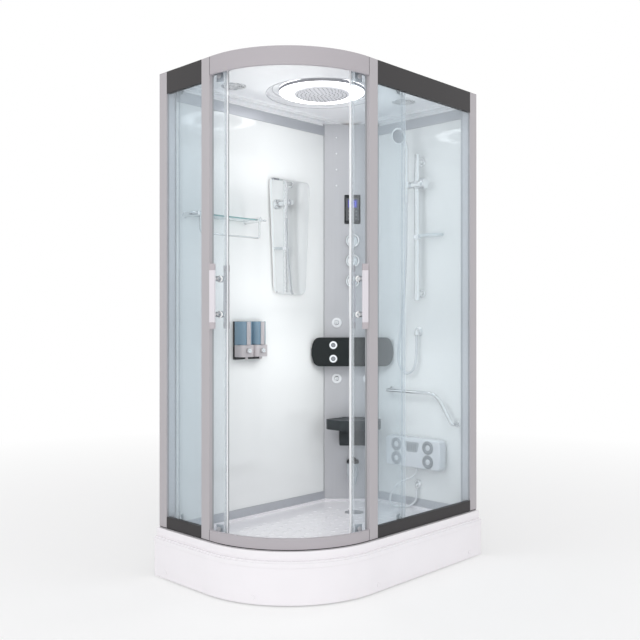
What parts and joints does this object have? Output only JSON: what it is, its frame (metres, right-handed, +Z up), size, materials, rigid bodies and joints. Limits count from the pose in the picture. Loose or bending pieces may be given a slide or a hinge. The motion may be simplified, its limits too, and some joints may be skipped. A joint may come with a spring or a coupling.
{
  "type": "steam shower cabin",
  "caption": "Free-standing steam shower cabin with a rounded entry corner, curved sliding glass doors, a diagonal column with controls, jets and folding seat, and a lit ceiling.",
  "frame": {"origin": "centre of the footprint on the floor", "axes": "+Z up, +X along the long wall towards the back corner, +Y along the short wall towards the back corner; the rounded entry corner is at -X -Y"},
  "size_m": [1.2, 0.8, 2.12],
  "materials": {
    "acrylic": "white sanitary acrylic, glossy",
    "frame_tube": "zinc-grey paint",
    "feet": "black plastic",
    "waste_plastic": "white plastic",
    "satin_metal": "satin anodised silver",
    "dark_rail": "dark graphite, satin",
    "grey_profile": "satin grey",
    "gasket_rubber": "black rubber",
    "clear_glass": "clear toughened glass",
    "door_seal": "translucent white vinyl",
    "chrome_trim": "polished chrome",
    "hanger_metal": "brushed steel",
    "roller_nylon": "white nylon",
    "painted_glass": "white back-painted panel, glossy",
    "wall_profile": "satin silver",
    "column_skin": "satin silver-grey",
    "panel_black": "gloss black",
    "knob_plastic": "satin chrome-plated plastic",
    "pipe_brass": "raw brass",
    "fitting_chrome": "chrome-plated plastic",
    "jet_grey": "satin chrome-plated plastic",
    "cushion_dark": "dark blue-black moulded foam",
    "seat_dark": "dark grey plastic",
    "steam_parts": "black cap over a clear cup",
    "generator_white": "white paint",
    "roof_plastic": "white acrylic, glossy",
    "lamp_plastic": "white diffuser",
    "ring_grey": "grey plastic",
    "fan_grey": "dark grey plastic",
    "mirror_glass": "silvered mirror",
    "shelf_clear": "clear glass, green edge",
    "soap_parts": "blue-grey tanks on black, silver fronts",
    "hose_metal": "silver hose",
    "hose_white": "white plastic hose"
  },
  "bodies": {
    "cabin": {"tray": "acrylic", "tray_apron": "acrylic", "tray_frame": "frame_tube", "levelling_feet": "feet", "waste_trap": "waste_plastic", "frame_posts": "satin_metal", "panel_rails": "dark_rail", "curved_header": "grey_profile", "curved_sill": "grey_profile", "frame_gasket": "gasket_rubber", "fixed_glass": "clear_glass", "wall_panels": "painted_glass", "wall_frames": "wall_profile", "column": "column_skin", "control_panel": "panel_black", "water_pipes": "pipe_brass", "wall_fittings": "fitting_chrome", "backrest": "cushion_dark", "seat_bracket": "seat_dark", "steam_outlet": "steam_parts", "steam_generator": "generator_white", "roof": "roof_plastic", "ceiling_lamp": "lamp_plastic", "rain_head": "fitting_chrome", "ceiling_rings": "ring_grey", "wall_mirror": "mirror_glass", "shelf_glass": "shelf_clear", "shelf_rail": "chrome_trim", "soap_dispenser": "soap_parts", "shower_rail": "chrome_trim", "shower_hose": "hose_metal", "grab_rail": "chrome_trim", "foot_hose": "hose_white"},
    "left_door": {"left_door_glass": "clear_glass", "left_door_seals": "door_seal", "left_door_handle": "chrome_trim", "left_door_hangers": "hanger_metal"},
    "right_door": {"right_door_glass": "clear_glass", "right_door_seals": "door_seal", "right_door_handle": "chrome_trim", "right_door_hangers": "hanger_metal"},
    "left_front_roller": {"left_front_roller": "roller_nylon"},
    "left_rear_roller": {"left_rear_roller": "roller_nylon"},
    "right_front_roller": {"right_front_roller": "roller_nylon"},
    "right_rear_roller": {"right_rear_roller": "roller_nylon"},
    "mixer_knob": {"mixer_knob": "knob_plastic"},
    "diverter_knob": {"diverter_knob": "knob_plastic"},
    "jets_knob": {"jets_knob": "knob_plastic"},
    "upper_left_jet": {"upper_left_jet": "jet_grey"},
    "upper_right_jet": {"upper_right_jet": "jet_grey"},
    "lower_left_jet": {"lower_left_jet": "jet_grey"},
    "lower_right_jet": {"lower_right_jet": "jet_grey"},
    "seat": {"seat": "seat_dark"},
    "fan_rotor": {"fan_rotor": "fan_grey"},
    "drain_cover": {"drain_cover": "chrome_trim"},
    "soap_button_left": {"soap_button_left": "knob_plastic"},
    "soap_button_right": {"soap_button_right": "knob_plastic"},
    "rail_slider": {"rail_slider": "fitting_chrome"},
    "hand_shower": {"hand_shower": "fitting_chrome"},
    "foot_massager": {"foot_massager": "acrylic"}
  },
  "joints": [
    {"name": "left_door_swing", "type": "hinge", "parent": "cabin", "child": "left_door", "pos_m": [0.22282, 0.20847, 1.1], "axis": [0, 0, 1], "range_deg": [0, 19.5]},
    {"name": "right_door_swing", "type": "hinge", "parent": "cabin", "child": "right_door", "pos_m": [0.00847, 0.42283, 1.1], "axis": [0, 0, -1], "range_deg": [0, 18.6]},
    {"name": "left_front_roller_spin", "type": "hinge", "parent": "left_door", "child": "left_front_roller", "pos_m": [-0.54998, 0.05394, 2.0465], "axis": [0.9432, 0.3322, 0], "range_deg": [0, 1252]},
    {"name": "left_rear_roller_spin", "type": "hinge", "parent": "left_door", "child": "left_rear_roller", "pos_m": [-0.54998, 0.31436, 2.0465], "axis": [0.9432, -0.3322, 0], "range_deg": [0, 1226]},
    {"name": "right_front_roller_spin", "type": "hinge", "parent": "right_door", "child": "right_front_roller", "pos_m": [-0.15818, -0.34746, 2.0465], "axis": [-0.3469, -0.9379, 0], "range_deg": [0, 1195]},
    {"name": "right_rear_roller_spin", "type": "hinge", "parent": "right_door", "child": "right_rear_roller", "pos_m": [0.10221, -0.35155, 2.0465], "axis": [0.3173, -0.9483, 0], "range_deg": [0, 1170]},
    {"name": "mixer_knob_turn", "type": "hinge", "parent": "cabin", "child": "mixer_knob", "pos_m": [0.4531, 0.24461, 1.446], "axis": [-0.7071, -0.7071, 0], "range_deg": [-90, 90]},
    {"name": "diverter_knob_turn", "type": "hinge", "parent": "cabin", "child": "diverter_knob", "pos_m": [0.4531, 0.24461, 1.3465], "axis": [-0.7071, -0.7071, 0], "range_deg": [0, 240]},
    {"name": "jets_knob_turn", "type": "hinge", "parent": "cabin", "child": "jets_knob", "pos_m": [0.4531, 0.24461, 1.247], "axis": [-0.7071, -0.7071, 0], "range_deg": [0, 270]},
    {"name": "upper_left_jet_swivel", "type": "hinge", "parent": "cabin", "child": "upper_left_jet", "pos_m": [0.41386, 0.31497, 1.042], "axis": [0, 0, 1], "range_deg": [-12, 12]},
    {"name": "upper_right_jet_swivel", "type": "hinge", "parent": "cabin", "child": "upper_right_jet", "pos_m": [0.52346, 0.20537, 1.042], "axis": [0, 0, 1], "range_deg": [-12, 12]},
    {"name": "lower_left_jet_swivel", "type": "hinge", "parent": "cabin", "child": "lower_left_jet", "pos_m": [0.41386, 0.31497, 0.767], "axis": [0, 0, 1], "range_deg": [-12, 12]},
    {"name": "lower_right_jet_swivel", "type": "hinge", "parent": "cabin", "child": "lower_right_jet", "pos_m": [0.52346, 0.20537, 0.767], "axis": [0, 0, 1], "range_deg": [-12, 12]},
    {"name": "seat_fold", "type": "hinge", "parent": "cabin", "child": "seat", "pos_m": [0.45027, 0.24179, 0.5595], "axis": [-0.7071, 0.7071, 0], "range_deg": [0, 88]},
    {"name": "fan_spin", "type": "hinge", "parent": "cabin", "child": "fan_rotor", "pos_m": [0.334, -0.166, 2.07], "axis": [0, 0, 1], "continuous": true},
    {"name": "drain_cover_lift", "type": "slide", "parent": "cabin", "child": "drain_cover", "axis": [0, 0, 1], "range_m": [0, 0.03]},
    {"name": "soap_button_left_press", "type": "slide", "parent": "cabin", "child": "soap_button_left", "axis": [0, 1, 0], "range_m": [0, 0.008], "stiffness_N_per_m": 500, "springref_m": -0.003},
    {"name": "soap_button_right_press", "type": "slide", "parent": "cabin", "child": "soap_button_right", "axis": [0, 1, 0], "range_m": [0, 0.008], "stiffness_N_per_m": 500, "springref_m": -0.003},
    {"name": "slider_height", "type": "slide", "parent": "cabin", "child": "rail_slider", "axis": [0, 0, 1], "range_m": [-0.19, 0.06], "deforming": ["shower_hose"]},
    {"name": "hand_shower_turn", "type": "hinge", "parent": "rail_slider", "child": "hand_shower", "pos_m": [0.488, -0.061, 1.687], "axis": [0, 0, 1], "range_deg": [-40, 40]},
    {"name": "foot_massager_lift", "type": "slide", "parent": "cabin", "child": "foot_massager", "axis": [0, 0, 1], "range_m": [0, 0.02], "deforming": ["foot_hose"]}
  ],
  "couplings": [
    {"joint": "left_front_roller_spin", "follows": "left_door_swing", "ratio": 63.96},
    {"joint": "left_rear_roller_spin", "follows": "left_door_swing", "ratio": 62.63},
    {"joint": "right_front_roller_spin", "follows": "right_door_swing", "ratio": 63.96},
    {"joint": "right_rear_roller_spin", "follows": "right_door_swing", "ratio": 62.63}
  ]
}
